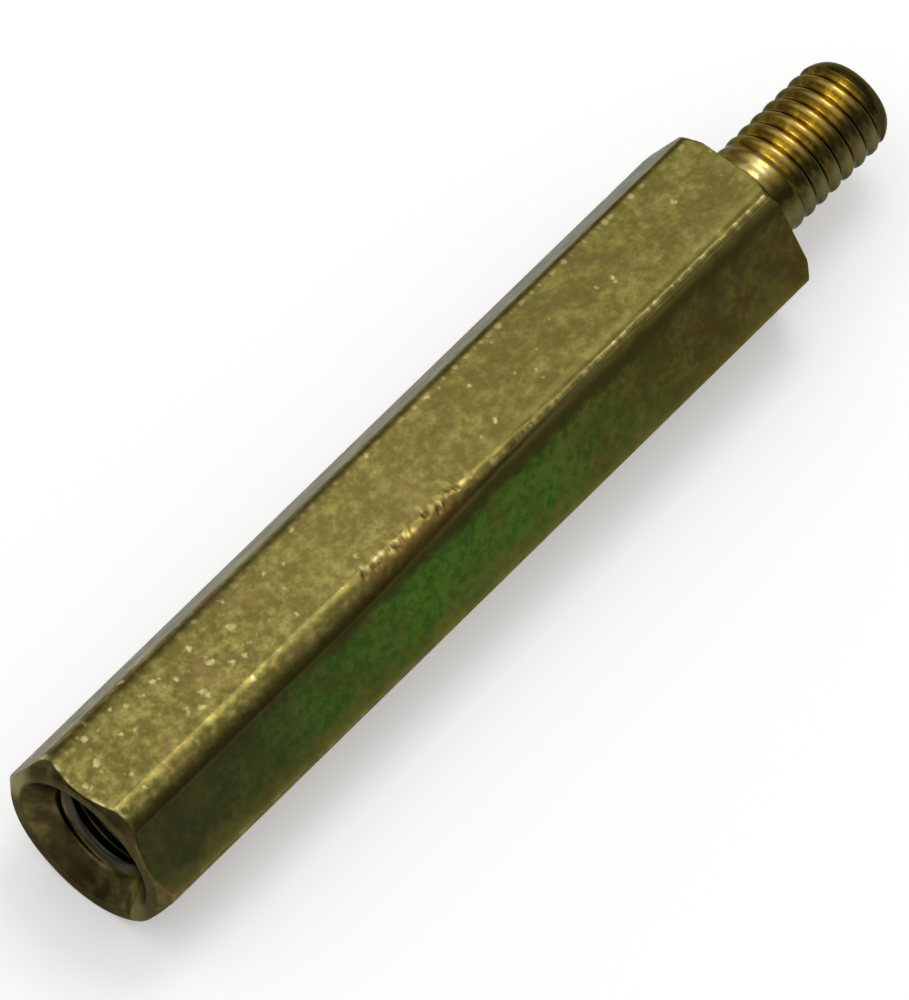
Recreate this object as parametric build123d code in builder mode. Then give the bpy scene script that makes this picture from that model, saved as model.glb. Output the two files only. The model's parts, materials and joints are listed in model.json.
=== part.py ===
from build123d import *

import os
from math import cos, radians, tan

# A male-female hex standoff for M3 screws, turned in one piece from drawn hexagonal brass bar.
# Millimetres. The thread axis is the X axis: the female seat face is at x = 0, the stud points along +X,
# and the body lies on one of its six flats, so +Z is up.

# The bar
across_flats = 4.93  # 5 mm bar, which may be drawn up to 0.075 under its nominal size
body_length = 25.0
edge_radius = 0.45  # the long edges, rounded over

# The M3 x 0.5 thread at each end. Its helix isn't cut here: the stud is plain at the thread's outer
# diameter, and the hole is plain at the diameter it is drilled to for tapping.
thread_major = 2.88  # cut a little under 3, as an external thread is
tap_drill = 2.5

# The female end
seat_chamfer = 0.36  # turned off the corners, at 45 degrees
seat_land = 0.3  # the flat ring between the chamfer and the countersink
countersink_angle = 90.0
bore_depth = 10.0  # to the end of the full diameter
drill_point_angle = 118.0

# The male end
shoulder_chamfer = 0.15  # turned off the corners, at 45 degrees
stud_length = 5.0
tip_chamfer = 0.4
neck_length = 0.45  # the relief groove that lets a nut run up to the shoulder
neck_depth = 0.17
neck_fillet = 0.2  # over neck_depth, so that the shoulder's flat clears the thread

# What follows from them
corner_radius = (across_flats / 2 - edge_radius) / cos(radians(30)) + edge_radius
seat_radius = corner_radius - seat_chamfer
shoulder_radius = corner_radius - shoulder_chamfer
mouth_radius = seat_radius - seat_land
bore_radius = tap_drill / 2
countersink_depth = (mouth_radius - bore_radius) / tan(radians(countersink_angle / 2))
point_length = bore_radius / tan(radians(drill_point_angle / 2))
crest_radius = thread_major / 2
neck_radius = crest_radius - neck_depth
overall_length = body_length + stud_length


def turned(points, mode):
    """Turn a profile about the thread axis. Each point is its place along the axis and its radius."""
    with BuildSketch(Plane.XZ) as profile:
        with BuildLine():
            Polyline(*points, close=True)
        make_face()
    revolve(profile.sketch, axis=Axis.X, mode=mode)


with BuildPart() as hex_standoff:
    # A length of bar, with a flat at the top and the bottom
    with BuildSketch(Plane.YZ) as bar_section:
        RegularPolygon(radius=across_flats / 2, side_count=6, major_radius=False)
        fillet(bar_section.vertices(), radius=edge_radius)
    extrude(amount=body_length)

    # Both ends faced off and chamfered in the lathe: the cones cut only the corners, so each flat
    # ends in a shallow arc at the female end, and the male end keeps most of its hexagon
    clear_of_bar = across_flats / 2 / cos(radians(30)) + seat_chamfer
    turned(
        [
            (0, 0),
            (0, seat_radius),
            (clear_of_bar - seat_radius, clear_of_bar),
            (body_length - (clear_of_bar - shoulder_radius), clear_of_bar),
            (body_length, shoulder_radius),
            (body_length, 0),
        ],
        Mode.INTERSECT,
    )

    # The stud: relief groove at its root, run-out up to the crests, chamfered tip
    turned(
        [
            (body_length, 0),
            (body_length, neck_radius),
            (body_length + neck_length, neck_radius),
            (body_length + neck_length + neck_depth, crest_radius),
            (overall_length - tip_chamfer, crest_radius),
            (overall_length, crest_radius - tip_chamfer),
            (overall_length, 0),
        ],
        Mode.ADD,
    )
    root = (
        hex_standoff.edges()
        .filter_by(GeomType.CIRCLE)
        .filter_by_position(Axis.X, body_length, body_length)
        .sort_by(SortBy.RADIUS)[0]
    )
    fillet(root, radius=neck_fillet)

    # The blind tapped hole: countersink, tap drill, drill point
    turned(
        [
            (0, 0),
            (0, mouth_radius),
            (countersink_depth, bore_radius),
            (bore_depth, bore_radius),
            (bore_depth + point_length, 0),
        ],
        Mode.SUBTRACT,
    )

hex_standoff.part.label = "hex_standoff"
os.makedirs("parts", exist_ok=True)
export_step(hex_standoff.part, "parts/hex_standoff.step")
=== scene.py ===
import json
import math

import bmesh
import bpy
import numpy as np
from mathutils import Matrix, Vector


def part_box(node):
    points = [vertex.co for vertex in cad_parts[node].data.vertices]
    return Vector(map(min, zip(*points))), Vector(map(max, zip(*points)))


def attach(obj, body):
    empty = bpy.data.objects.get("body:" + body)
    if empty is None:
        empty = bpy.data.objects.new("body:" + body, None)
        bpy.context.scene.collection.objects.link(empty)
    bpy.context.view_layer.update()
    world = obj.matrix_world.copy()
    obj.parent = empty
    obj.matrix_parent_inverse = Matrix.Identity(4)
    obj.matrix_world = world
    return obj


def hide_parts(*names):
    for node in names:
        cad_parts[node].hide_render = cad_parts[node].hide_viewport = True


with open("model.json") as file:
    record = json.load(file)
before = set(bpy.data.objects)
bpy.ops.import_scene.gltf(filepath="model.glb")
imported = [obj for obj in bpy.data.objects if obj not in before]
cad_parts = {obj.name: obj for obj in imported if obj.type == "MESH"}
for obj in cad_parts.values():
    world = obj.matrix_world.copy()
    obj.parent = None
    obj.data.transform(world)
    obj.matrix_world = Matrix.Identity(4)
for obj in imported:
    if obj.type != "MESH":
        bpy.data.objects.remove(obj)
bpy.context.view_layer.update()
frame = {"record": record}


# The skin of the standoff
# The whole part is one length of hexagonal brass bar, drawn to size and turned at both ends in a lathe.
# Its long edges were rounded in drawing, and handling has worn one of them roundest, at the female end.
# Sizes are in millimetres, with the thread axis along X and a flat up.
MM = 0.001
low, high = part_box("hex_standoff")
mounts = {mount["name"]: mount for mount in frame["record"]["mounts"]}
half_flats = high.z / MM
corner_radius = high.y / MM
overall_length = high.x / MM
body_length = mounts["shoulder_face"]["pos_m"][0] / MM
crest_radius = mounts["stud"]["dims"]["r_mm"]
bore_radius = mounts["tapped_hole"]["dims"]["r_mm"]

# What the lathe took off at the two ends
seat_chamfer = 0.36
seat_land = 0.3
shoulder_chamfer = 0.15
neck_length = 0.45
neck_depth = 0.17
neck_fillet = 0.2
rim_break = 0.04  # the corners between two cuts are just broken
seat_radius = corner_radius - seat_chamfer
mouth_radius = seat_radius - seat_land
shoulder_radius = corner_radius - shoulder_chamfer
neck_radius = crest_radius - neck_depth
neck_end = body_length + neck_length

# How round the long edges are, and where a serrated jaw has bitten the worn one
female_edge_radius = 0.63
male_edge_radius = 0.25
edge_wear_power = 1.5  # how soon the roundness falls off from the female end
worn_edge = 2  # counted from +Y towards +Z
worn_edge_radius = 0.82
worn_edge_flatness = 0.25  # how far its rounding is worn towards a flat
crisp_edge_radius = 0.20
worn_until = 7.0
crisp_from = 19.0
bites = ((9.55, 11.3), (11.9, 13.2))
bites_start = bites[0][0]
bites_end = bites[-1][1]

arc_steps = 12
flat_steps = 12
half_arc = arc_steps // 2
sextant = arc_steps + flat_steps
columns = 6 * sextant
turn_angles = np.arange(columns) * 2 * math.pi / columns


def bar_outlines(edge_radii, flattenings):
    """The bar's outline, as (row, column, yz). Column 0 is the edge at +Y.

    Each row has six edge radii, and how far each rounding is worn from an arc towards its chord.
    """
    follows_centre = np.zeros((columns, 6, 2))
    follows_radius = np.zeros((columns, 6, 2))
    follows_sagitta = np.zeros((columns, 6, 2))
    for column in range(columns):
        side, step = divmod(column, sextant)
        if step < half_arc:
            ends = [(side, step / half_arc, 1.0)]
        elif step <= half_arc + flat_steps:
            along = 0.5 - 0.5 * math.cos(math.pi * (step - half_arc) / flat_steps)
            ends = [(side, 1.0, 1.0 - along), (side + 1, -1.0, along)]
        else:
            ends = [(side + 1, step / half_arc - sextant / half_arc, 1.0)]
        for edge, turn, share in ends:
            edge_angle = math.radians(60 * edge)
            arc_angle = math.radians(60 * edge + 30 * turn)
            sagitta = math.cos(math.radians(30 * turn)) - math.cos(math.radians(30))
            edge_way = np.array([math.cos(edge_angle), math.sin(edge_angle)])
            arc_way = np.array([math.cos(arc_angle), math.sin(arc_angle)])
            follows_centre[column, edge % 6] += share * edge_way
            follows_radius[column, edge % 6] += share * arc_way
            follows_sagitta[column, edge % 6] += share * sagitta * edge_way
    centres = (half_flats - edge_radii) / math.cos(math.radians(30))
    outlines = np.einsum("re,cek->rck", centres, follows_centre)
    outlines += np.einsum("re,cek->rck", edge_radii, follows_radius)
    outlines -= np.einsum("re,cek->rck", edge_radii * flattenings, follows_sagitta)
    return outlines


def reach_and_angles(outline):
    """How far an outline's points lie from the thread axis, and their angles, in step with the columns."""
    angles = np.arctan2(outline[:, 1], outline[:, 0])
    angles = turn_angles + (angles - turn_angles + math.pi) % (2 * math.pi) - math.pi
    return np.hypot(outline[:, 0], outline[:, 1]), angles


def ring(x, radius, angles):
    """One ring of points round the thread axis."""
    return np.stack([x + 0 * angles, radius * np.cos(angles), radius * np.sin(angles)], axis=1)


# Rows along the flats: closer where the edge is bitten, and closest by the chamfers at the two ends
row_gap = 0.1
bitten_row_gap = 0.04
bar_length = body_length - seat_chamfer
close_offsets = np.array([0.0, 0.02, 0.05, 0.09])
row_offsets = np.concatenate([
    close_offsets,
    np.arange(0.15, bites_start - 0.55, row_gap),
    np.arange(bites_start - 0.5, bites_end + 0.2, bitten_row_gap),
    np.arange(bites_end + 0.3, body_length - 0.5, row_gap),
    bar_length - close_offsets[::-1],
])
row_shares = row_offsets / bar_length
even_radii = male_edge_radius + (female_edge_radius - male_edge_radius) * (1 - row_shares) ** edge_wear_power
edge_radii = np.tile(even_radii[:, None], (1, 6))
crispness = np.clip((row_offsets - worn_until) / (crisp_from - worn_until), 0, 1)
crispness = crispness ** 2 * (3 - 2 * crispness)
edge_radii[:, worn_edge] = worn_edge_radius + (crisp_edge_radius - worn_edge_radius) * crispness
flattenings = np.zeros_like(edge_radii)
flattenings[:, worn_edge] = worn_edge_flatness * (1 - crispness)
outlines = bar_outlines(edge_radii, flattenings)

female_reach, female_angles = reach_and_angles(outlines[0])
male_reach, male_angles = reach_and_angles(outlines[-1])
female_edge = female_reach - seat_radius
shoulder_reach = np.minimum(male_reach, shoulder_radius)
male_edge = body_length - (male_reach - shoulder_reach)

# The seat and its chamfer, then the bar, then the chamfer, the shoulder and the neck
female_rings = [
    ring(rim_break, mouth_radius - rim_break, turn_angles),
    ring(0.0, mouth_radius, turn_angles),
    ring(0.0, mouth_radius + rim_break, turn_angles),
    ring(0.0, mouth_radius + seat_land / 2, (turn_angles + female_angles) / 2),
    ring(0.0, seat_radius - rim_break, female_angles),
    ring(0.0, seat_radius, female_angles),
]
for share in (0.15, 0.35, 0.6, 0.85):
    female_rings.append(ring(share * female_edge, seat_radius + share * female_edge, female_angles))
bar_rings = []
for share, outline in zip(row_shares, outlines):
    bar_rings.append(np.column_stack([female_edge + share * (male_edge - female_edge), outline]))
male_rings = []
for share in (0.2, 0.5, 0.8):
    x = male_edge + share * (body_length - male_edge)
    male_rings.append(ring(x, male_reach + share * (shoulder_reach - male_reach), male_angles))
male_rings.append(ring(body_length, shoulder_reach, male_angles))
male_rings.append(ring(body_length, shoulder_reach - rim_break, male_angles))
fillet_start = neck_radius + neck_fillet
for share in (0.33, 0.66, 1.0):
    radius = (1 - share) * (shoulder_reach - rim_break) + share * fillet_start
    male_rings.append(ring(body_length, radius, (1 - share) * male_angles + share * turn_angles))
for angle in np.radians([22.5, 45.0, 67.5, 90.0]):
    x = body_length + neck_fillet * (1 - math.cos(angle))
    male_rings.append(ring(x, fillet_start - neck_fillet * math.sin(angle), turn_angles))
for share in (0.6, 0.8, 1.0):
    male_rings.append(ring(body_length + share * neck_length, neck_radius, turn_angles))

# The corners between cuts are just broken, and the rim of the flats at the female end is rubbed bright, with
# a painted highlight on it as well
rings = np.array(female_rings + bar_rings + male_rings)
bar_start = len(female_rings)
bar_end = bar_start + len(bar_rings)
corner_rows = (1, 5, bar_start, bar_end - 1, bar_end + 3)  # mouth, seat, both ends of the flats, shoulder
sharp_rings = rings.copy()
for row in corner_rows:
    rings[row] = 0.5 * sharp_rings[row] + 0.25 * (sharp_rings[row - 1] + sharp_rings[row + 1])
turned_rows = [float(row < bar_start or row >= bar_end) for row in range(len(rings))]
glint_and_wear_rim = {bar_start: 1.0, bar_start + 1: 0.85, bar_start + 2: 0.5, bar_start + 3: 0.15}
glint_and_wear_rows = [glint_and_wear_rim.get(row, 0.0) for row in range(len(rings))]


def skin(bm, rows, turned=None, glint_and_wear=None, end_point=None):
    """Add rings of points with faces between them, and close the last ring to a point if one is given."""
    turned_layer = bm.verts.layers.float["turned"]
    glint_and_wear_layer = bm.verts.layers.float["glint_and_wear"]
    verts = [[bm.verts.new(point * MM) for point in row] for row in rows]
    for index, row in enumerate(verts):
        for vert in row:
            vert[turned_layer] = turned[index] if turned else 1.0
            vert[glint_and_wear_layer] = glint_and_wear[index] if glint_and_wear else 0.0
    for row, following in zip(verts, verts[1:]):
        for column in range(columns):
            beside = (column + 1) % columns
            bm.faces.new((row[column], row[beside], following[beside], following[column]))
    if end_point:
        middle = bm.verts.new(Vector(end_point) * MM)
        for column in range(columns):
            bm.faces.new((verts[-1][column], verts[-1][(column + 1) % columns], middle))


# The brass
# Bare drawn brass, gone dull: an olive-gold skin with a fine grain, browner blotches and bright flecks.
# One flank has a green and brown film. The turned ends are browner, and the stud is a clean gold.
brass = bpy.data.materials.new("tarnished_brass")
brass.use_nodes = True
tree = brass.node_tree
tree.nodes.clear()


def add(kind, sockets=None, **settings):
    """Add a node to the tree in hand, set its properties, and fill or link its inputs."""
    made = tree.nodes.new(kind)
    for name, value in settings.items():
        setattr(made, name, value)
    for name, value in (sockets or {}).items():
        if isinstance(value, bpy.types.NodeSocket):
            tree.links.new(value, made.inputs[name])
        else:
            made.inputs[name].default_value = value
    return made


def calc(operation, *values):
    """The result of one step of arithmetic."""
    return add("ShaderNodeMath", dict(enumerate(values)), operation=operation).outputs[0]


def total(first, *others):
    """Several values added up."""
    for other in others:
        first = calc("ADD", first, other)
    return first


def product(first, *others):
    """Several values multiplied together."""
    for other in others:
        first = calc("MULTIPLY", first, other)
    return first


def distance(along, across):
    """How far apart two points are that differ by this much in two directions."""
    return calc("SQRT", total(product(along, along), product(across, across)))


def ramp(value, start, end, low_value=0.0, high_value=1.0, smooth=True):
    """A value that goes from low_value at start to high_value at end, and no further."""
    sockets = {"Value": value, "From Min": start, "From Max": end, "To Min": low_value, "To Max": high_value}
    kind = "SMOOTHSTEP" if smooth else "LINEAR"
    return add("ShaderNodeMapRange", sockets, interpolation_type=kind).outputs[0]


def mixed(share, first, second):
    """Two colours mixed by a share."""
    made = add("ShaderNodeMix", data_type="RGBA")
    for name, value in (("Factor_Float", share), ("A_Color", first), ("B_Color", second)):
        socket = next(s for s in made.inputs if s.identifier == name)
        if isinstance(value, bpy.types.NodeSocket):
            tree.links.new(value, socket)
        else:
            socket.default_value = (*value, 1.0) if isinstance(value, tuple) else value
    return next(s for s in made.outputs if s.identifier == "Result_Color")


def clouds(place, scale, detail=3.0, roughness=0.55):
    """Noise of a given number of lumps to the millimetre."""
    sockets = {"Vector": place, "Scale": scale, "Detail": detail, "Roughness": roughness}
    return add("ShaderNodeTexNoise", sockets).outputs["Fac"]


def strayed(value, noise, reach):
    """A value that noise moves by up to half of reach, either way."""
    return total(value, product(calc("SUBTRACT", noise, 0.5), reach))


def spots(where, cells, chance_left_out, largest, off_line=None):
    """Round spots of mixed sizes, at most one to a cell: in space, or along a line if off_line is given."""
    dimensions, socket = ("1D", "W") if off_line else ("3D", "Vector")
    cell = add("ShaderNodeTexVoronoi", {socket: where, "Scale": cells}, voronoi_dimensions=dimensions)
    draw = add("ShaderNodeSeparateColor", {0: cell.outputs["Color"]}).outputs[0]
    size = ramp(draw, chance_left_out, 1.0, 0.0, largest)
    gap = calc("DIVIDE", cell.outputs["Distance"], cells)
    if off_line:
        gap = distance(gap, off_line)
    return ramp(calc("SUBTRACT", gap, size), 0.02, -0.07)


# Where a point of the brass lies, in millimetres, and what its mesh says of it
place = add("ShaderNodeMapping", {
    "Vector": add("ShaderNodeTexCoord").outputs["Object"],
    "Scale": (1 / MM, 1 / MM, 1 / MM),
}).outputs[0]
x, y, z = add("ShaderNodeSeparateXYZ", {0: place}).outputs
radius = distance(y, z)
turned = add("ShaderNodeAttribute", attribute_name="turned").outputs["Fac"]
glint_and_wear = add("ShaderNodeAttribute", attribute_name="glint_and_wear").outputs["Fac"]
dented = add("ShaderNodeAttribute", attribute_name="dented").outputs["Fac"]
on_drawn = calc("SUBTRACT", 1.0, turned)
on_near_side = calc("LESS_THAN", y, 0.0)

# The flank with the film faces -Y and up: how deep below it a point lies, and how far down its slope
slope = math.sqrt(0.75)
flank_depth = calc("SUBTRACT", product(y, slope), product(z, 0.5))
flank_depth = total(flank_depth, half_flats)
down = calc("SUBTRACT", product(y, -0.5), product(z, slope))

patches = clouds(place, 1.3, 3.0, 0.6)
grain = clouds(place, 4.2, 2.0, 0.55)
blotches = clouds(place, 0.7, 4.0, 0.65)
stretched_place = add("ShaderNodeMapping", {"Vector": place, "Scale": (0.25, 5.0, 5.0)}).outputs[0]
draw_lines = clouds(stretched_place, 1.6, 3.0)
tone = total(product(patches, 0.5), product(grain, 0.5))

# Flecks of bare metal, thickest by the female end, and dark pits
shove = add("ShaderNodeTexNoise", {"Vector": place, "Scale": 5.0, "Detail": 1.0}).outputs["Color"]
shove = add("ShaderNodeVectorMath", {0: shove, "Scale": 0.22}, operation="SCALE").outputs[0]
loose_place = add("ShaderNodeVectorMath", {0: place, 1: shove}, operation="ADD").outputs[0]
flecks = product(spots(loose_place, 2.7, 0.10, 0.13), ramp(x, 8.0, 5.0))
flecks = calc("MAXIMUM", flecks, spots(loose_place, 2.1, 0.35, 0.10))
pits = spots(loose_place, 1.15, 0.45, 0.12)

# Beads where the two upper edges are nicked, bare metal that is also painted highlight, more of them towards
# the male end
near_edge_y = -1.40
far_edge_y = 1.24
edge_z = 2.43
far_shift = 40.0  # gives the two edges beads of their own
edge_y = ramp(y, -0.1, 0.1, near_edge_y, far_edge_y)
off_edge = distance(calc("SUBTRACT", y, edge_y), calc("SUBTRACT", z, edge_z))
along_edges = total(x, product(calc("SIGN", y), far_shift))
lumps = add("ShaderNodeTexNoise", {"W": along_edges, "Scale": 3.2, "Detail": 2.0}, noise_dimensions="1D")
beads = product(ramp(lumps.outputs["Fac"], 0.50, 0.68), ramp(off_edge, 0.11, 0.02), 0.8)
beads = calc("MAXIMUM", spots(along_edges, 1.9, 0.25, 0.13, off_edge), beads)
beads = product(beads, ramp(x, 3.0, 14.0, 0.2, 0.8))

# The drawn skin: mottled, more even along the middle, with brown blotches, and duller by the male end
skin_dark = (0.126, 0.104, 0.026)
skin_pale = (0.305, 0.258, 0.072)
skin_even = (0.200, 0.168, 0.046)
skin_brown = (0.190, 0.122, 0.048)
skin_dull = (0.066, 0.056, 0.012)
drawn_colour = mixed(calc("POWER", ramp(tone, 0.33, 0.70), 1.6), skin_dark, skin_pale)
evened = calc("MINIMUM", ramp(x, 5.0, 9.0, 0.0, 0.24), ramp(x, 15.0, 19.0, 0.24, 0.12))
drawn_colour = mixed(evened, drawn_colour, skin_even)
browned = calc("MAXIMUM", ramp(x, 9.0, 5.0, 0.25, 0.6), ramp(x, 15.0, 20.0, 0.25, 0.6))
browned = product(browned, ramp(blotches, 0.50, 0.70))
drawn_colour = mixed(browned, drawn_colour, skin_brown)
drawn_colour = mixed(ramp(x, 10.0, 18.0, 0.0, 0.33), drawn_colour, skin_dull)

# The near upper edge has painted shade down its rounding where it is worn, which dims its highlight, and
# beyond the wear the top flat has a pale painted highlight along its border and a brown line of painted
# shade beside it
film_and_shade_dark = (0.038, 0.033, 0.008)
film_and_shade_brown = (0.064, 0.048, 0.012)
edge_shade = product(ramp(down, -1.69, -1.60, 0.0, 0.25), ramp(down, -1.38, -1.46))
edge_shade = calc("MAXIMUM", edge_shade, ramp(down, -1.47, -1.00, 0.0, 0.75))
edge_shade = product(edge_shade, ramp(down, -1.18, -0.95, 1.0, 0.30), on_near_side, ramp(x, 17.0, 10.0))
drawn_colour = mixed(edge_shade, drawn_colour, film_and_shade_dark)
beyond_wear = ramp(x, 12.0, 16.0)
highlight_border = product(ramp(y, -0.90, -1.08, 0.0, 0.22), ramp(y, -1.22, -1.14), beyond_wear)
drawn_colour = mixed(highlight_border, drawn_colour, skin_pale)
shade_line = product(ramp(y, -1.18, -1.26, 0.0, 0.5), ramp(y, -1.37, -1.31), beyond_wear)
drawn_colour = mixed(shade_line, drawn_colour, film_and_shade_brown)

# The film on one flank: olive by the female end, green along the middle, brown by the male end. It is
# dark below its upper border, and thins to gold at both edges.
film_olive = (0.036, 0.040, 0.014)
film_green = (0.037, 0.092, 0.011)
film_leaf = (0.061, 0.135, 0.017)
film_gold = (0.110, 0.096, 0.022)
film_pale = (0.088, 0.074, 0.019)
edge_highlight_pale = (0.290, 0.240, 0.078)
loose_x = strayed(x, clouds(place, 0.4, 4.0), 6.0)
loose_down = strayed(down, patches, 1.6)
near_down = strayed(down, patches, 0.35)
film = mixed(ramp(grain, 0.34, 0.62), film_green, film_leaf)
film = mixed(ramp(loose_x, 2.0, 11.0), film_olive, film)
film = mixed(ramp(loose_x, 14.0, 21.0), film, film_and_shade_brown)
film = mixed(ramp(loose_down, -0.1, -1.3, 0.0, 0.7), film, film_olive)
film = mixed(ramp(loose_down, 0.4, 1.5, 0.0, 0.75), film, film_gold)
film = mixed(product(ramp(tone, 0.42, 0.68), ramp(x, 11.0, 19.0, 0.25, 0.75)), film, film_gold)
film = mixed(ramp(blotches, 0.48, 0.70, 0.0, 0.5), film, film_and_shade_brown)
below_border = product(ramp(near_down, -0.55, -0.85, 0.0, 0.85), ramp(x, 5.5, 8.5, 0.35, 1.0))
film = mixed(below_border, film, film_and_shade_dark)
film = mixed(ramp(near_down, -0.98, -1.22), film, film_pale)
film = mixed(product(ramp(down, -0.85, -0.93), ramp(x, 14.0, 9.0, 0.0, 0.25)), film, film_pale)
# A painted highlight along the crisp upper edge, towards the male end
film = mixed(product(ramp(down, -1.24, -1.38), ramp(x, 9.0, 15.0)), film, edge_highlight_pale)
on_flank = ramp(flank_depth, 0.05, 0.0)
colour = mixed(on_flank, drawn_colour, film)

# The turned ends: brown with pale and reddish patches, and darkest on the seat face
turned_brown = (0.044, 0.034, 0.013)
turned_pale = (0.150, 0.122, 0.040)
turned_red = (0.085, 0.048, 0.022)
turned_tone = total(clouds(place, 1.7, 2.0, 0.5), ramp(y, 0.5, -2.4, 0.0, 0.08))
turned_colour = mixed(ramp(turned_tone, 0.36, 0.74), turned_brown, turned_pale)
turned_colour = mixed(ramp(blotches, 0.46, 0.62, 0.0, 0.5), turned_colour, turned_red)
turned_colour = mixed(ramp(x, 0.06, 0.02, 0.0, 0.6), turned_colour, turned_brown)

# Painted light at the female end: one corner has a pale grey painted reflection, and another has a painted
# highlight in a streak of gold
reflection_grey = (0.420, 0.370, 0.195)
highlight_gold = (0.290, 0.245, 0.100)
far_corner_reflection = product(
    ramp(y, 1.4, 2.2),
    ramp(radius, mouth_radius - 0.05, mouth_radius + 0.1),
    ramp(z, -0.2, 0.5),
    ramp(z, 2.0, 1.3),
    ramp(x, 1.0, 0.7, 0.0, 0.55),
)
turned_colour = mixed(far_corner_reflection, turned_colour, reflection_grey)
# A painted highlight in a gold streak on the lower corner
low_highlight_streak = product(
    ramp(y, -1.44, -1.54),
    ramp(y, -2.20, -1.65, 0.2, 1.0),
    ramp(z, -0.3, -0.9),
    ramp(x, 0.9, 0.5, 0.0, 0.5),
)
turned_colour = mixed(low_highlight_streak, turned_colour, highlight_gold)
colour = mixed(turned, colour, turned_colour)

# The stud: clean gold, brighter on the crests, with painted shade down its sides, a painted reflection of
# the floor along its near side, and darker at the tip
stud_gold = (0.545, 0.335, 0.028)
stud_brown = (0.245, 0.134, 0.010)
stud_crest = (0.720, 0.540, 0.160)
stud_dark = (0.030, 0.027, 0.010)
stud_floor_reflection = (0.225, 0.198, 0.095)
stud_tone = total(product(turned_tone, 0.5), product(grain, 0.5))
stud_colour = mixed(ramp(stud_tone, 0.42, 0.62), stud_brown, stud_gold)
on_crests = ramp(radius, crest_radius - 0.08, crest_radius - 0.04, 0.0, 0.4)
stud_colour = mixed(on_crests, stud_colour, stud_crest)
# Painted shade down both sides of the stud's highlight
stud_colour = mixed(ramp(y, 0.05, -1.12, 0.0, 0.93), stud_colour, stud_dark)
stud_colour = mixed(ramp(y, -0.10, 0.30, 0.0, 0.40), stud_colour, stud_dark)
stud_colour = mixed(ramp(y, 0.40, 1.15, 0.0, 0.75), stud_colour, stud_dark)
# A painted reflection of the floor along the near side
stud_colour = mixed(ramp(y, -1.20, -1.40, 0.0, 0.4), stud_colour, stud_floor_reflection)
stud_colour = mixed(ramp(x, overall_length - 0.70, overall_length - 0.45, 0.0, 0.85), stud_colour, stud_dark)
on_stud = ramp(x, body_length + 0.02, body_length + 0.2)
colour = mixed(on_stud, colour, stud_colour)

# The hole is painted dark grey inside, as painted shade in the recess
hole_shade = (0.052, 0.049, 0.037)
near_bore = ramp(radius, bore_radius + 0.24, bore_radius + 0.12)
in_hole = product(near_bore, ramp(x, body_length, body_length - 5.0))
colour = mixed(in_hole, colour, hole_shade)

# The two bites are brown between their notches, flecks are bare metal, and beads are bare metal and painted
# highlight
bare_brass = (0.620, 0.540, 0.245)
bead_and_highlight_brass = (0.520, 0.450, 0.190)
bite_brown = (0.150, 0.098, 0.026)
bitten = product(
    ramp(off_edge, 0.50, 0.18),
    on_near_side,
    ramp(x, bites_start - 0.75, bites_start + 0.25),
    ramp(x, bites_end + 0.6, bites_end - 0.3),
)
colour = mixed(product(bitten, 0.65), colour, bite_brown)
on_skin = product(on_drawn, ramp(flank_depth, 0.1, 0.4))
colour = mixed(product(flecks, on_skin, 0.6), colour, bare_brass)
colour = mixed(product(pits, on_skin, ramp(x, 6.0, 10.0, 0.0, 0.45)), colour, film_and_shade_dark)
off_bites = calc("SUBTRACT", 1.0, bitten)
colour = mixed(product(beads, off_bites, on_drawn, 0.55), colour, bead_and_highlight_brass)

# The top flat's rim and the ridges in the bites are rubbed bright in places, with painted highlights on
# them, and the top of the stud's first crests has a painted highlight. Dents hold dirt.
bite_gold = (0.600, 0.475, 0.150)
dirt = (0.066, 0.042, 0.014)
in_places = product(ramp(clouds(place, 3.0, 1.0), 0.40, 0.62), ramp(y, -1.38, -1.15, 0.15, 1.0))
in_places = calc("MAXIMUM", in_places, ramp(x, 2.0, 3.0))
glint_and_wear_bare = product(glint_and_wear, in_places, ramp(z, 1.9, 2.35))
colour = mixed(glint_and_wear_bare, colour, mixed(bitten, bare_brass, bite_gold))
# A painted highlight on top of the stud's first crests
first_crest_highlight = product(
    ramp(x, body_length + 0.2, body_length + 0.3),
    ramp(x, body_length + 1.6, body_length + 1.0),
    ramp(y, -0.65, -0.35),
    ramp(y, 0.35, 0.0),
    ramp(clouds(place, 3.2, 1.0), 0.40, 0.56),
)
colour = mixed(product(first_crest_highlight, 0.8), colour, bead_and_highlight_brass)
colour = mixed(ramp(dented, 0.3, 0.8, 0.0, 0.75), colour, dirt)

# Relief: grain and draw lines on the flats, and the lathe's fine rings on what it cut
relief_height = 0.004
ring_place = add("ShaderNodeCombineXYZ", {0: total(radius, x), 1: 0.0, 2: 0.0}).outputs[0]
lathe_rings = clouds(ring_place, 14.0, 2.0)
drawn_relief = total(
    product(grain, 1.2),
    product(draw_lines, 0.12),
    product(patches, 1.4),
    product(beads, 0.6),
)
turned_relief = total(lathe_rings, product(grain, 0.4))
relief = add("ShaderNodeMix", {"Factor": turned, 2: drawn_relief, 3: turned_relief}, data_type="FLOAT")
bump = add("ShaderNodeBump", {"Height": relief.outputs[0], "Strength": 1.0, "Distance": relief_height * MM})

# Tarnished metal stays dull at a glancing angle, where clean metal would turn white
edge_tint = (0.54, 0.54, 0.50, 1.0)
roughness = product(ramp(patches, 0.3, 0.7, 0.34, 0.28), ramp(on_stud, 0.0, 1.0, 1.0, 0.8))
surface = add("ShaderNodeBsdfPrincipled", {
    "Base Color": colour,
    "Metallic": 1.0,
    "Roughness": roughness,
    "Specular Tint": edge_tint,
    "Normal": bump.outputs[0],
})
add("ShaderNodeOutputMaterial", {"Surface": surface.outputs[0]})


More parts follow.
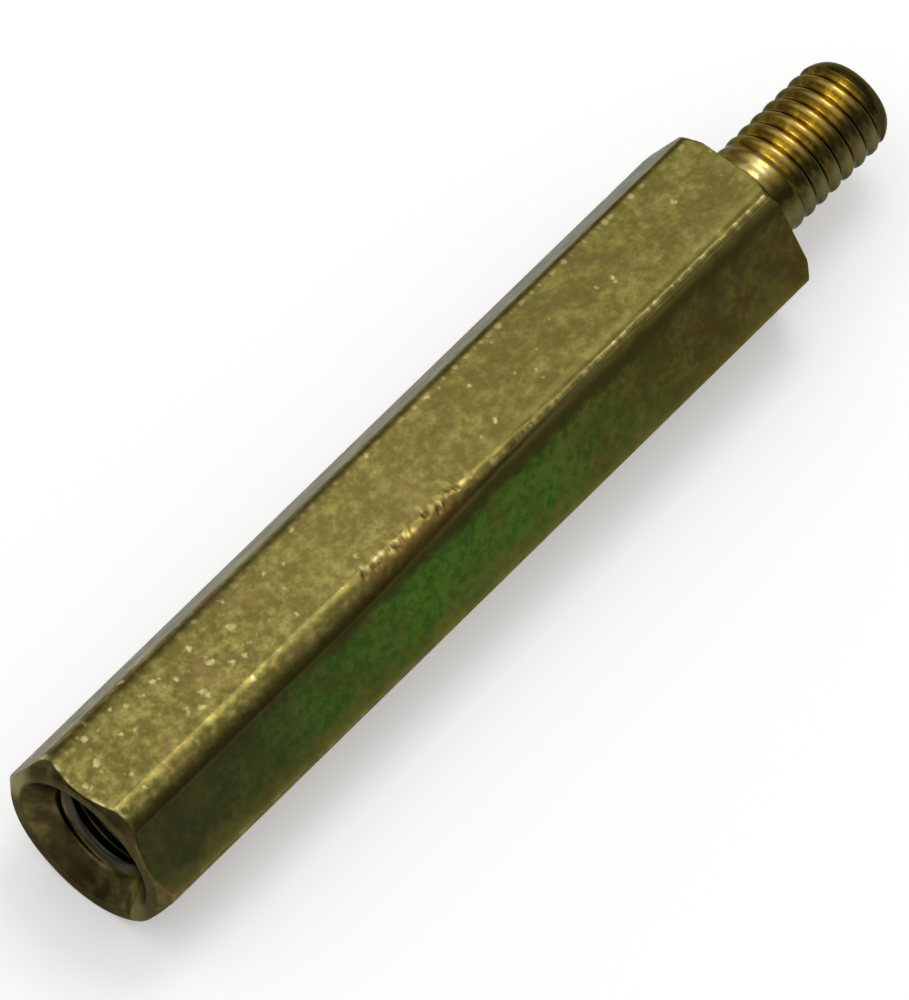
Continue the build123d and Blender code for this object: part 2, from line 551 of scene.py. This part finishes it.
# The threads
# An M3 screw thread at each end: cut on the stud by a die, from the relief neck to the rounded tip,
# and in the drilled hole by a tap, from the countersink until it runs out above the drill point.
pitch = 0.5
stud_thread_depth = 0.11
worn_crest_radius = crest_radius - 0.03
nose_length = 0.8
nose_depth = 0.5
tip_radius = crest_radius - nose_depth
hole_thread_depth = 0.26
tap_reach = 8.5
tap_run_out = 1.2
bore_depth = 10.0
drill_point_angle = 118
drill_point = bore_radius / math.tan(math.radians(drill_point_angle / 2))

thread_tree = bpy.data.node_groups.new("screw_thread", "GeometryNodeTree")
tree = thread_tree
sizes = (
    ("Columns", "NodeSocketInt"),
    ("Rows to a pitch", "NodeSocketInt"),
    ("Start", "NodeSocketFloat"),
    ("Length", "NodeSocketFloat"),
    ("Pitch", "NodeSocketFloat"),
    ("Land radius", "NodeSocketFloat"),
    ("Groove depth", "NodeSocketFloat"),
    ("Groove flat", "NodeSocketFloat"),
    ("Flank", "NodeSocketFloat"),
    ("Shallow at", "NodeSocketFloat"),
    ("Full at", "NodeSocketFloat"),
    ("Inside", "NodeSocketBool"),
    ("Start cone", "NodeSocketFloat"),
    ("End radius", "NodeSocketFloat"),
    ("Nose length", "NodeSocketFloat"),
    ("Metal", "NodeSocketMaterial"),
)
for name, kind in sizes:
    thread_tree.interface.new_socket(name, in_out="INPUT", socket_type=kind)
thread_tree.interface.new_socket("Thread", in_out="OUTPUT", socket_type="NodeSocketGeometry")
size = add("NodeGroupInput").outputs

# A grid whose columns go once round the axis and whose rows follow the helix
turns = calc("CEIL", calc("DIVIDE", size["Length"], size["Pitch"]))
rows = product(total(turns, 1.0), size["Rows to a pitch"])
grid = add("GeometryNodeMeshGrid", {
    "Size X": 1.0,
    "Size Y": 1.0,
    "Vertices X": total(size["Columns"], 1.0),
    "Vertices Y": total(rows, 1.0),
})
flat = add("ShaderNodeSeparateXYZ", {0: add("GeometryNodeInputPosition").outputs[0]}).outputs
column = calc("ROUND", product(total(flat[0], 0.5), size["Columns"]))
row = calc("ROUND", product(total(flat[1], 0.5), rows))
turn = calc("DIVIDE", column, size["Columns"])
advance = calc("SUBTRACT", total(calc("DIVIDE", row, size["Rows to a pitch"]), turn), 1.0)
from_start = calc("MINIMUM", calc("MAXIMUM", product(advance, size["Pitch"]), 0.0), size["Length"])

# How far each point lies from the middle of its groove, in pitches, and so how deep it is cut
phase = calc("FRACT", total(calc("SUBTRACT", calc("DIVIDE", from_start, size["Pitch"]), turn), 1.0))
off_middle = calc("ABSOLUTE", calc("SUBTRACT", phase, 0.5))
half_flat = calc("DIVIDE", size["Groove flat"], 2.0)
cut = ramp(off_middle, half_flat, total(half_flat, size["Flank"]), 1.0, 0.0)
run_out = ramp(from_start, size["Shallow at"], size["Full at"], smooth=False)
helix_radius = total(size["Land radius"], product(cut, run_out, size["Groove depth"]))

# The countersink, or the cone of the neck, takes what lies past it at 45 degrees, and the nose of the
# stud is a quarter of an ellipse
outside = calc("MINIMUM", helix_radius, total(size["Start cone"], from_start))
from_end = calc("DIVIDE", calc("SUBTRACT", size["Length"], from_start), size["Nose length"])
short_of_nose = calc("MAXIMUM", calc("SUBTRACT", 1.0, from_end), 0.0)
nose_height = calc("SQRT", calc("SUBTRACT", 1.0, product(short_of_nose, short_of_nose)))
nose_height = product(nose_height, calc("SUBTRACT", size["Land radius"], size["End radius"]))
outside = calc("MINIMUM", outside, total(size["End radius"], nose_height))
inside = calc("MAXIMUM", helix_radius, calc("SUBTRACT", size["Start cone"], from_start))
either = {"Switch": size["Inside"], "False": outside, "True": inside}
chosen = add("GeometryNodeSwitch", either, input_type="FLOAT").outputs[0]
angle = product(turn, 2 * math.pi)
wound = add("ShaderNodeCombineXYZ", {
    0: total(size["Start"], from_start),
    1: product(chosen, calc("COSINE", angle)),
    2: product(chosen, calc("SINE", angle)),
}).outputs[0]
placed = add("GeometryNodeSetPosition", {"Geometry": grid.outputs[0], "Position": wound})
welded = add("GeometryNodeMergeByDistance", {"Geometry": placed.outputs[0], "Distance": 0.0002 * MM})
real = add("GeometryNodeRealizeInstances", {"Geometry": welded.outputs[0]})
metal = add("GeometryNodeSetMaterial", {"Geometry": real.outputs[0], "Material": size["Metal"]})
add("NodeGroupOutput", {0: metal.outputs[0]})


def thread_mesh(name, values):
    """The mesh that the thread tree makes from these sizes."""
    holder = bpy.data.objects.new(name, bpy.data.meshes.new(name))
    bpy.context.scene.collection.objects.link(holder)
    modifier = holder.modifiers.new(name, "NODES")
    modifier.node_group = thread_tree
    for item in thread_tree.interface.items_tree:
        if item.in_out == "INPUT":
            modifier[item.identifier] = values[item.name]
    evaluated = holder.evaluated_get(bpy.context.evaluated_depsgraph_get())
    made = bpy.data.meshes.new_from_object(evaluated)
    bpy.data.objects.remove(holder)
    return made


stud_thread = thread_mesh("stud_thread", {
    "Columns": columns,
    "Rows to a pitch": 16,
    "Start": neck_end * MM,
    "Length": (overall_length - neck_end) * MM,
    "Pitch": pitch * MM,
    "Land radius": worn_crest_radius * MM,
    "Groove depth": -stud_thread_depth * MM,
    "Groove flat": 0.08,
    "Flank": 0.40,
    "Shallow at": 0.25 * MM,
    "Full at": 1.25 * MM,
    "Inside": False,
    "Start cone": neck_radius * MM,
    "End radius": tip_radius * MM,
    "Nose length": nose_length * MM,
    "Metal": brass,
})
hole_thread = thread_mesh("hole_thread", {
    "Columns": columns,
    "Rows to a pitch": 8,
    "Start": rim_break * MM,
    "Length": (tap_reach - rim_break) * MM,
    "Pitch": pitch * MM,
    "Land radius": bore_radius * MM,
    "Groove depth": hole_thread_depth * MM,
    "Groove flat": 1 / 8,
    "Flank": 5 / 16,
    "Shallow at": (tap_reach - rim_break) * MM,
    "Full at": (tap_reach - tap_run_out) * MM,
    "Inside": True,
    "Start cone": (mouth_radius - rim_break) * MM,
    "End radius": 0.0,
    "Nose length": 1.0 * MM,
    "Metal": brass,
})


# One piece of metal
# The skin, the two threads, the faced tip and the drilled bottom of the hole close up into one solid,
# as they are all cut from the one bar.
bm = bmesh.new()
bm.verts.layers.float.new("turned")
bm.verts.layers.float.new("glint_and_wear")
skin(bm, rings, turned_rows, glint_and_wear_rows)
tip_rings = [ring(overall_length, share * tip_radius, turn_angles) for share in (1.0, 0.7, 0.35)]
skin(bm, tip_rings, end_point=(overall_length, 0, 0))
untapped = (tap_reach, (tap_reach + bore_depth) / 2, bore_depth)
bore_rings = [ring(x, bore_radius, turn_angles) for x in untapped]
skin(bm, bore_rings, end_point=(bore_depth + drill_point, 0, 0))
bm.from_mesh(stud_thread)
bm.from_mesh(hole_thread)
bmesh.ops.remove_doubles(bm, verts=bm.verts, dist=0.0005 * MM)
bmesh.ops.dissolve_degenerate(bm, edges=bm.edges, dist=0.0001 * MM)
bmesh.ops.recalc_face_normals(bm, faces=bm.faces)
mesh = bpy.data.meshes.new("hex_standoff_brass")
bm.to_mesh(mesh)
open_edges = sum(1 for edge in bm.edges if len(edge.link_faces) != 2)
bm.free()
mesh.shade_smooth()

# The marks of handling, which are pressed into the points of the finished mesh
worn_edge_marks = 90
other_edge_marks = 22
rim_marks = 70
stud_marks = 30
bite_pitch = 0.27
pit_rim = 0.15  # how high the metal is pushed up round a pit, as a share of its depth
chance = np.random.default_rng(7)
points = np.empty(len(mesh.vertices) * 3)
mesh.vertices.foreach_get("co", points)
points = points.reshape(-1, 3) / MM
normals = np.empty(len(mesh.vertices) * 3)
mesh.vertices.foreach_get("normal", normals)
normals = normals.reshape(-1, 3)
turned_values = np.empty(len(points), np.float32)
mesh.attributes["turned"].data.foreach_get("value", turned_values)
glint_and_wear_values = np.empty(len(points), np.float32)
mesh.attributes["glint_and_wear"].data.foreach_get("value", glint_and_wear_values)
sunk = np.zeros(len(points))
dented_values = np.zeros(len(points))


def outside_point(x, angle):
    """The point of the metal's outside that lies this far along and round."""
    beyond = np.array([x, corner_radius * math.cos(angle), corner_radius * math.sin(angle)])
    nearest = points[np.argmin(np.sum((points - beyond) ** 2, axis=1))]
    reach = np.hypot(nearest[1], nearest[2])
    return np.array([x, reach * math.cos(angle), reach * math.sin(angle)])


def dent(x, angle, reach, across, depth, slant=0.0):
    """Press a pit with a raised rim into the metal's outside, this far along and round it."""
    away_x, away_y, away_z = (points - outside_point(x, angle)).T
    round_axis = away_z * math.cos(angle) - away_y * math.sin(angle)
    along = (away_x - slant * round_axis) / reach
    away = np.sqrt(along ** 2 + (away_y ** 2 + away_z ** 2) / across ** 2)
    pit = np.exp(-away ** 2)
    rim = np.exp(-((away - 1.5) / 0.4) ** 2)
    sunk[:] += depth * (pit - pit_rim * rim)
    dented_values[:] = np.maximum(dented_values, pit * min(1.0, depth / 0.04))


# Two bites of a serrated jaw on the worn edge, with the ridges between their notches rubbed bright and
# painted with highlights
bitten_edge = math.radians(60 * worn_edge)
for start, end in bites:
    for x in np.arange(start, end, bite_pitch):
        angle = bitten_edge - math.radians(chance.uniform(2.5, 7.5))
        across = chance.uniform(0.08, 0.16)
        reach = chance.uniform(0.05, 0.10)
        slant = chance.uniform(-0.9, 0.4)
        notch_x = x + chance.uniform(-0.08, 0.08)
        dent(notch_x, angle, reach, across, chance.uniform(0.015, 0.04), slant)
        ridge_x = x + bite_pitch / 2 + chance.uniform(-0.06, 0.06)
        ridge_angle = bitten_edge - math.radians(chance.uniform(3.0, 8.0))
        off_ridge = np.linalg.norm(points - outside_point(ridge_x, ridge_angle), axis=1)
        shine = chance.uniform(0.1, 0.9)
        shine_reach = chance.uniform(0.06, 0.10)
        glint_and_wear_values = np.maximum(glint_and_wear_values, shine * np.exp(-(off_ridge / shine_reach) ** 2))

# Nicks along the long edges, thickest on the worn one
for edge in range(6):
    marks = worn_edge_marks if edge == worn_edge else other_edge_marks
    for x in chance.uniform(0.5, body_length - 0.4, marks):
        angle = math.radians(60 * edge + chance.uniform(-7, 4))
        reach = chance.uniform(0.08, 0.13)
        across = chance.uniform(0.07, 0.12)
        dent(x, angle, reach, across, chance.uniform(0.003, 0.012))

# Nicks in the rims of the two ends, at the shoulder or at the female end's chamfer
for _ in range(rim_marks):
    angle = chance.uniform(0, 2 * math.pi)
    flat_reach = half_flats / math.cos(angle % (math.pi / 3) - math.pi / 6)
    chamfer_edge = min(flat_reach, corner_radius) - seat_radius
    x = body_length - 0.03 if chance.random() < 0.5 else chamfer_edge
    reach = chance.uniform(0.04, 0.07)
    across = chance.uniform(0.05, 0.1)
    dent(x, angle, reach, across, chance.uniform(0.006, 0.02))

# Marks on the stud's crests
for _ in range(stud_marks):
    angle = chance.uniform(0, 2 * math.pi)
    x = chance.uniform(body_length + 0.9, overall_length - 0.4)
    reach = chance.uniform(0.05, 0.1)
    across = chance.uniform(0.06, 0.12)
    dent(x, angle, reach, across, chance.uniform(0.004, 0.012))
dented_points = points - sunk[:, None] * normals
mesh.vertices.foreach_set("co", (dented_points * MM).ravel())

# The threads are cut metal too, and the brass reads where it is rubbed and has painted highlights, and where
# it is dented
in_threads = (points[:, 0] > body_length + 0.3) | (np.hypot(points[:, 1], points[:, 2]) < mouth_radius)
turned_values[in_threads] = 1.0
mesh.attributes["turned"].data.foreach_set("value", turned_values)
mesh.attributes["glint_and_wear"].data.foreach_set("value", glint_and_wear_values.astype(np.float32))
dented_layer = mesh.attributes.new("dented", "FLOAT", "POINT")
dented_layer.data.foreach_set("value", dented_values.astype(np.float32))

standoff = bpy.data.objects.new("hex_standoff_brass", mesh)
bpy.context.scene.collection.objects.link(standoff)
mesh.materials.clear()
mesh.materials.append(brass)
print("triangles", sum(len(p.vertices) - 2 for p in mesh.polygons), "open edges", open_edges)
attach(standoff, "root")
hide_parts("hex_standoff")


# The studio
# A plain white floor, a pale surround that darkens to its horizon, and one soft lamp almost overhead.
floor_size = 1.5
bm = bmesh.new()
bmesh.ops.create_grid(bm, x_segments=2, y_segments=2, size=floor_size / 2)
bmesh.ops.translate(bm, vec=(body_length * MM / 2, 0, low.z), verts=bm.verts)
floor_mesh = bpy.data.meshes.new("floor")
bm.to_mesh(floor_mesh)
bm.free()
floor = bpy.data.objects.new("floor", floor_mesh)
bpy.context.scene.collection.objects.link(floor)
paper = bpy.data.materials.new("white_paper")
paper.use_nodes = True
tree = paper.node_tree
tree.nodes.clear()
paper_colour = (0.80, 0.80, 0.80, 1.0)
white = (1.0, 1.0, 1.0, 1.0)
paper_lift = 0.35  # towards white, wherever the paper is seen
matt = add("ShaderNodeBsdfDiffuse", {"Color": paper_colour})
rays = add("ShaderNodeLightPath").outputs
seen = calc("MAXIMUM", rays["Is Camera Ray"], rays["Is Glossy Ray"])
seen = calc("MAXIMUM", seen, rays["Is Transmission Ray"])
lift = add("ShaderNodeEmission", {"Color": white, "Strength": product(seen, paper_lift)})
lifted = add("ShaderNodeAddShader", {0: matt.outputs[0], 1: lift.outputs[0]})
add("ShaderNodeOutputMaterial", {"Surface": lifted.outputs[0]})
floor_mesh.materials.append(paper)

horizon_grey = 0.30
zenith_grey = 1.05
world = bpy.data.worlds.new("surround")
bpy.context.scene.world = world
world.use_nodes = True
tree = world.node_tree
tree.nodes.clear()
direction = add("ShaderNodeTexCoord").outputs["Generated"]
_, sideways, height = add("ShaderNodeSeparateXYZ", {0: direction}).outputs
grey = product(ramp(height, 0.42, 0.86, horizon_grey, zenith_grey), ramp(sideways, -0.8, 0.0, 0.75, 1.0))
light = add("ShaderNodeBackground", {"Color": white, "Strength": grey})
add("ShaderNodeOutputWorld", {"Surface": light.outputs[0]})

lamp_aim = Vector((body_length * MM / 2, 0, 0))
lamp_direction = Vector((0.40, 0.08, 0.91)).normalized()
lamp_distance = 0.3
lamp_side = 0.11
lamp_power = 0.13
lamp_data = bpy.data.lights.new("key", "AREA")
lamp_data.size = lamp_side
lamp_data.energy = lamp_power
lamp = bpy.data.objects.new("key", lamp_data)
lamp.location = lamp_aim + lamp_direction * lamp_distance
lamp.rotation_euler = lamp_direction.to_track_quat("Z", "Y").to_euler()
bpy.context.scene.collection.objects.link(lamp)


# The camera
# It looks down along the bar from the side of the female end.
camera_azimuth = math.radians(-47.324)
camera_elevation = math.radians(56.398)
camera_roll = math.radians(2.198)
camera_distance = 342.52
camera_lens = 486.51
camera_aim = Vector((13.832, -0.294, 0.0))
back = Vector((
    math.sin(camera_azimuth) * math.cos(camera_elevation),
    -math.cos(camera_azimuth) * math.cos(camera_elevation),
    math.sin(camera_elevation),
))
camera_data = bpy.data.cameras.new("camera")
camera_data.sensor_width = 36
camera_data.lens = camera_lens
camera_data.clip_start = 0.01
camera = bpy.data.objects.new("camera", camera_data)
upright = (-back).to_track_quat("-Z", "Y").to_matrix()
camera.rotation_euler = (upright @ Matrix.Rotation(-camera_roll, 3, "Z")).to_euler()
camera.location = (camera_aim + back * camera_distance) * MM
bpy.context.scene.collection.objects.link(camera)
bpy.context.scene.camera = camera
bpy.context.scene.view_settings.view_transform = "Standard"
